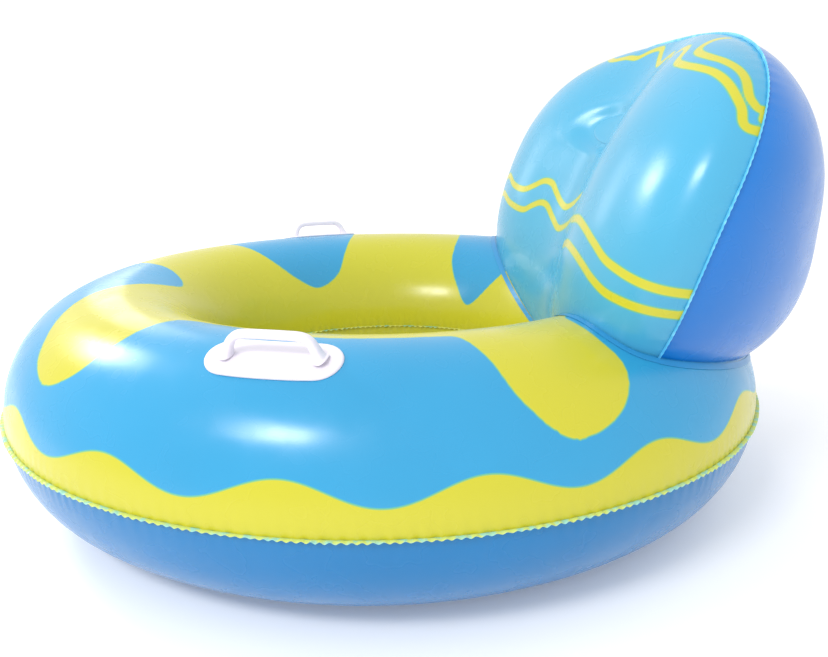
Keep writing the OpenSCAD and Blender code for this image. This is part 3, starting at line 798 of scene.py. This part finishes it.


# %% [markdown]
# ## Seam vinyl
# The flange is both films pressed into one, so it is paler than either and a little cloudy,
# and the weld line beside the tube is painted darker, as painted shade in the crease there.

# %% Seam materials
def seam_tint_and_shade(second, flange_root_shade):
    """A pattern of drifting tint along a flange, with painted shade in its groove by the tube."""
    def pattern(tree, face):
        place = add(tree.nodes, "ShaderNodeTexCoord").outputs["Object"]
        tinted = mixed(tree, ramped(tree, noisy(tree, place, 70.0), 0.46, 0.62), face, second)
        share = add(tree.nodes, "ShaderNodeAttribute", attribute_name="free_share").outputs["Fac"]
        # painted shade: the flange's root against the tube takes the darker colour
        return mixed(tree, ramped(tree, share, 0.05, 0.35), flange_root_shade, tinted)
    return pattern


# The last colour given to each seam tint is painted shade for the flange's root against the tube.
ring_seam_vinyl = vinyl("ring seam vinyl", SEAM_GREEN, 0.34,
                        pattern=seam_tint_and_shade(tone(150, 208, 196), tone(70, 128, 108)))
inner_seam_vinyl = vinyl("inner seam vinyl", tone(206, 208, 96), 0.34,
                         pattern=seam_tint_and_shade(tone(140, 190, 150), tone(120, 130, 60)))
back_seam_vinyl = vinyl("backrest seam vinyl", SEAM_BLUE, 0.34,
                        pattern=seam_tint_and_shade(tone(120, 206, 240), tone(20, 84, 150)))

# %% Ring and backrest seams
turns = np.linspace(0, 2 * math.pi, 2700, endpoint=False)
level = np.stack([np.cos(turns), np.sin(turns), 0 * turns], -1)
upright = np.tile([0.0, 0.0, 1.0], (len(turns), 1))
outer_seam = swept_seam("ring_outer_weld", ring_point(turns, 0.0, -0.0012), level, upright, True,
                        ring_seam_vinyl, Width=0.0066, Thickness=0.0014, Crimps=345,
                        Crimp_height=0.0011, Seed=3.0)
inner_turns = turns[::2]
inner_seam = swept_seam("ring_inner_weld", ring_point(inner_turns, math.pi, -0.0012),
                        -level[::2], upright[::2], True, inner_seam_vinyl, Width=0.0066,
                        Thickness=0.0014, Crimps=150, Crimp_height=0.0011, Seed=8.0)
edge_rays = np.linspace(-math.pi / 2, 1.5 * math.pi, 2401)
edge_path = panel_point(edge_rays, 1.0, 1)
clear = skin_gap(edge_path) > -0.008
edge_rays = edge_rays[clear]
edge_path = edge_path[clear]
edge_out = np.stack([-np.gradient(edge_path[:, 2]), 0 * edge_rays, np.gradient(edge_path[:, 0])], -1)
edge_out *= np.sign((edge_out[:, 0] * edge_path[:, 0]).sum())
edge_out /= np.linalg.norm(edge_out, axis=1, keepdims=True)
edge_along = np.gradient(edge_path, axis=0)
edge_across = np.cross(edge_along, edge_out)
edge_across /= np.linalg.norm(edge_across, axis=1, keepdims=True)
back_seam = swept_seam("backrest_weld", edge_path - 0.001 * edge_out, edge_out, edge_across, False,
                       back_seam_vinyl, Width=0.0050, Thickness=0.0018, Crimps=190,
                       Crimp_height=0.00035, Seed=5.0)
for piece, node, slot in (
    (outer_seam, "ring_outer_seam", "ring_seam_vinyl"),
    (inner_seam, "ring_inner_seam", "inner_seam_vinyl"),
    (back_seam, "backrest_seam", "backrest_seam_vinyl"),
):
    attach(piece, ROOT)
    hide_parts(node)

# %% [markdown]
# ## The moulded handles
# Each handle is moulded in soft white vinyl: an oval patch with a raised rim, welded flat to
# the tube, and a strap-like grip whose feet flare into it. The patch is laid on the curved
# skin point by point, and the grip is a section swept along a low arch that widens at its feet.

# %% Handle patches and grips
ARC_R = SIDE_R - TUBE_R
HANDLE_AHEAD = 0.120
AHEAD = math.asin(HANDLE_AHEAD / ARC_R)
TILT = math.radians(18)
GRIP_LEAN = math.radians(10)
PATCH_TOP = 0.0018
PATCH_HALF_L = 0.0785
PATCH_HALF_W = 0.0325
PATCH_PROFILE = [
    (0.0, 1.7), (0.35, 1.7), (0.60, 1.7), (0.76, 1.75), (0.83, 2.0), (0.87, 2.6), (0.905, 3.2),
    (0.935, 3.4), (0.962, 3.2), (0.982, 2.6), (0.995, 1.6), (1.0, 0.5), (0.99, 0.1), (0.0, 0.1),
]
GRIP_ARCH = [
    (-0.0545, -0.0010, 0.0125, 0.0090), (-0.0532, 0.0015, 0.0105, 0.0074),
    (-0.0514, 0.0065, 0.0084, 0.0060), (-0.0485, 0.0135, 0.0072, 0.0053),
    (-0.0445, 0.0200, 0.0067, 0.0050), (-0.0385, 0.0245, 0.0066, 0.0047),
    (-0.0300, 0.0264, 0.0066, 0.0046), (-0.0150, 0.0268, 0.0066, 0.0045),
    (0.0000, 0.0269, 0.0066, 0.0045),
]
handle_vinyl = vinyl("handle vinyl", MOULDED_WHITE, 0.36, coat=0.2, peel=0.3, drift=0.03)


def patch_rows():
    """The near patch, as rows of its profile round the oval."""
    turn = np.linspace(0, 2 * math.pi, 144, endpoint=False)
    straight = PATCH_HALF_L - PATCH_HALF_W
    along = PATCH_HALF_W * np.sin(turn) + straight * np.tanh(6 * np.sin(turn))
    aside = PATCH_HALF_W * np.cos(turn)
    share = np.array([p[0] for p in PATCH_PROFILE])
    lift = np.array([p[1] for p in PATCH_PROFILE]) / 1000
    around = math.pi / 2 - TILT - np.outer(aside, share) / TUBE_R
    forward = -AHEAD + np.outer(along, share) / (ARC_R + TUBE_R * math.sin(TILT))
    return ring_point(forward, around, np.broadcast_to(lift, around.shape))


def handle_frame():
    """The turn and the place of the near grip's own axes on the patch."""
    turn = Matrix.Rotation(-AHEAD, 3, "Z") @ Matrix.Rotation(TILT, 3, "Y")
    tube_middle = Matrix.Rotation(-AHEAD, 3, "Z") @ Vector((ARC_R, 0, 0))
    place = Vector((-SIDE_SHIFT, RING_Y, TUBE_Z)) + tube_middle + turn @ Vector((0, 0, TUBE_R + PATCH_TOP))
    return np.array(turn @ Matrix.Rotation(-GRIP_LEAN, 3, "Y")), np.array(place)


def grip_rows():
    """The near grip: a rounded strap section swept along the arch."""
    half = np.array(GRIP_ARCH)
    whole = np.vstack([half, half[-2::-1] * [-1, 1, 1, 1]])
    arch = smooth_line(whole, 8)
    slope = np.gradient(arch[:, :2], axis=0)
    slope /= np.linalg.norm(slope, axis=1, keepdims=True)
    angle = np.linspace(0, 2 * math.pi, 32, endpoint=False)
    squared = (np.abs(np.cos(angle)) ** 3 + np.abs(np.sin(angle)) ** 3) ** (-1 / 3)
    wide = squared * np.cos(angle)
    thick = squared * np.sin(angle)
    x = np.outer(arch[:, 2], wide)
    in_plane = np.outer(arch[:, 3], thick)
    y = arch[:, 0:1] - in_plane * slope[:, 1:2]
    z = arch[:, 1:2] + in_plane * slope[:, 0:1]
    rows = np.stack([x, y, np.maximum(z, -0.0004)], -1)
    first = np.broadcast_to(rows[:1].mean(1, keepdims=True), rows[:1].shape)
    last = np.broadcast_to(rows[-1:].mean(1, keepdims=True), rows[-1:].shape)
    rows = np.concatenate([first, rows, last])
    turn, place = handle_frame()
    return rows @ turn.T + place


for side, name in ((1, "near"), (-1, "far")):
    for kind, rows, closes in (("patch", patch_rows(), (True, False)), ("grip", grip_rows(), (False, True))):
        piece = grid_piece(f"{name}_moulded_{kind}", rows * [side, 1, 1], *closes)
        piece.data.materials.append(handle_vinyl)
        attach(piece, ROOT)
        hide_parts(f"{name}_handle_{kind}")

# %% [markdown]
# ## The oval weld high in the valley
# The tie behind the front film is welded to it through an oval patch. It lies at the bottom of
# the recess and follows the film, so it is computed on the film's own rule, a little proud.

# %% Valley weld patch
WELD_HALF_X = 0.064
WELD_HALF_S = 0.022
WELD_SLOPE = LEAN + 0.3


def weld_patch_rows():
    """The oval weld patch, as rows of its profile round the oval."""
    turn = np.linspace(0, 2 * math.pi, 120, endpoint=False)
    share = np.array([0.0, 0.3, 0.6, 0.85, 0.94, 0.98, 1.0, 0.98, 0.0])
    lift = np.array([0.9, 0.9, 0.9, 0.9, 1.1, 0.9, 0.3, 0.1, 0.1]) / 1000
    x = np.outer(np.cos(turn), share) * WELD_HALF_X
    s = RECESS_MID + np.outer(np.sin(turn), share) * WELD_HALF_S
    ray, reach = ray_of(x, s)
    rows = panel_point(ray, reach, 1)
    sunk = recess(x, s) - np.broadcast_to(lift, x.shape)
    return rows + sunk[..., None] * np.array([0, math.cos(WELD_SLOPE), -math.sin(WELD_SLOPE)])


weld_patch = grid_piece("valley_weld_patch", weld_patch_rows(), True, False)
weld_patch.data.materials.append(vinyl("weld patch vinyl", FRONT_BLUE, 0.3))
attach(weld_patch, ROOT)
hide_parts("valley_weld_disc")

# %% [markdown]
# ## Pieces whose CAD shape is right
# The foot weld and the valves already have their right shape. They keep it and get their own
# materials: the weld is printed film pressed flat, and the valves are milky moulded vinyl.

# %% Materials of the kept pieces
def keep(node, material):
    """Gives a CAD node its finish."""
    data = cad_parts[node].data
    data.materials.clear()
    data.materials.append(material)


valve_vinyl = vinyl("valve vinyl", CLEAR_WHITE, 0.34, coat=0.25, drift=0.03)
stem_vinyl = vinyl("stem vinyl", tone(206, 226, 240), 0.34, coat=0.25, drift=0.03)
flap_vinyl = vinyl("flap vinyl", tone(186, 216, 238), 0.4, coat=0.2, drift=0.03)
cap_vinyl = vinyl("cap vinyl", tone(238, 240, 246), 0.32, coat=0.25, drift=0.03)
web_film = vinyl("web film", tone(214, 232, 244), 0.3)
foot_vinyl = vinyl("foot weld vinyl", tone(48, 142, 196), 0.34)
keep("backrest_foot_weld", foot_vinyl)
for place in ("ring", "backrest"):
    for part, material in (("base", valve_vinyl), ("stem", stem_vinyl), ("flap", flap_vinyl),
                           ("cap", cap_vinyl), ("tether", cap_vinyl)):
        keep(f"{place}_valve_{part}", material)

# %% [markdown]
# ## The tie web
# The web joins the two films of the backrest in the middle. Its CAD film ends closer behind the
# front film than the recess is deep, so it is made again on the same rule, a little shorter.

# %% Tie web
WEB_BEHIND = 0.005
WEB_LEVELS = 48
WEB_STEPS = 14


def web_rows():
    """The tie web: a flat film in the middle plane, from behind the front film to the rear one."""
    web_low, web_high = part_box("backrest_tie_web")
    s = np.linspace(web_low.z + 0.01, web_high.z - 0.02, WEB_LEVELS) - FOOT_Z
    ray, share = ray_of(0 * s, s)
    front = panel_point(ray, share, 1, WEB_BEHIND + np.maximum(recess(0 * s, s), 0))
    rear = panel_point(ray, share, -1, WEB_BEHIND)
    t = np.linspace(0, 1, WEB_STEPS)[None, :, None]
    sheet = front[:, None] * (1 - t) + rear[:, None] * t
    half = np.array([FILM_T / 2, 0, 0])
    return np.concatenate([sheet + half, (sheet - half)[:, ::-1]], 1)


tie_web = grid_piece("backrest_web_film", web_rows(), False, True)
tie_web.data.materials.append(web_film)
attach(tie_web, ROOT)
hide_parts("backrest_tie_web")

# %% [markdown]
# ## Floor, light and camera
# A pale floor, an even white surrounding, and three softboxes: two on the far side towards the
# front, and one beside the camera. The vinyl's gloss shows each of them as a soft glow.

# %% Floor, light and camera
floor_mesh = bpy.data.meshes.new("floor")
FLOOR_REACH = 30.0
corners = [(FLOOR_REACH * x, FLOOR_REACH * y, 0) for x, y in ((-1, -1), (1, -1), (1, 1), (-1, 1))]
floor_mesh.from_pydata(corners, [], [(0, 1, 2, 3)])
floor = bpy.data.objects.new("floor", floor_mesh)
bpy.context.scene.collection.objects.link(floor)
floor_paint = bpy.data.materials.new("floor")
floor_paint.use_nodes = True
floor_shader = floor_paint.node_tree.nodes["Principled BSDF"]
floor_shader.inputs["Base Color"].default_value = (0.97, 0.97, 0.97, 1)
floor_shader.inputs["Roughness"].default_value = 0.9
floor_shader.inputs["Emission Color"].default_value = (1, 1, 1, 1)
floor_shader.inputs["Emission Strength"].default_value = 0.10
floor_mesh.materials.append(floor_paint)

world = bpy.data.worlds.new("even white")
world.use_nodes = True
surround = world.node_tree.nodes["Background"]
surround.inputs["Color"].default_value = (1.0, 1.0, 1.0, 1)
surround.inputs["Strength"].default_value = 1.04
bpy.context.scene.world = world
bpy.context.scene.view_settings.view_transform = "Standard"

AIM = Vector((0.0, 0.0, 0.25))
SOFTBOX_AWAY = 2.6


def softbox(name, direction, width, height, power):
    """An area light that faces the ring from a direction."""
    data = bpy.data.lights.new(name, "AREA")
    data.shape = "RECTANGLE"
    data.size = width
    data.size_y = height
    data.energy = power
    lamp = bpy.data.objects.new(name, data)
    bpy.context.scene.collection.objects.link(lamp)
    lamp.location = AIM + Vector(direction).normalized() * SOFTBOX_AWAY
    lamp.rotation_euler = (AIM - lamp.location).to_track_quat("-Z", "Y").to_euler()


softbox("far strip", (-0.80, -0.50, 0.36), 0.5, 0.9, 3)
softbox("front strip", (-0.38, -0.74, 0.55), 0.6, 0.6, 20)
softbox("camera softbox", (0.63, -0.42, 0.62), 0.75, 0.45, 26)

CAMERA_PLACE = (1.1333, -0.0480, 0.5549)
YAW, PITCH, ROLL = (math.radians(v) for v in (86.39, 16.78, -0.38))
forward = Vector((-math.sin(YAW) * math.cos(PITCH), math.cos(YAW) * math.cos(PITCH), -math.sin(PITCH)))
right = Vector((math.cos(YAW), math.sin(YAW), 0))
up = right.cross(forward)
right_rolled = right * math.cos(ROLL) + up * math.sin(ROLL)
up_rolled = right_rolled.cross(forward)
camera_data = bpy.data.cameras.new("camera")
camera_data.sensor_width = 36
camera_data.lens = 30.73
camera_data.clip_start = 0.01
camera = bpy.data.objects.new("camera", camera_data)
bpy.context.scene.collection.objects.link(camera)
turned = Matrix((right_rolled, up_rolled, -forward)).transposed().to_4x4()
camera.matrix_world = Matrix.Translation(CAMERA_PLACE) @ turned
bpy.context.scene.camera = camera
print("camera at", CAMERA_PLACE, "lens", camera_data.lens)
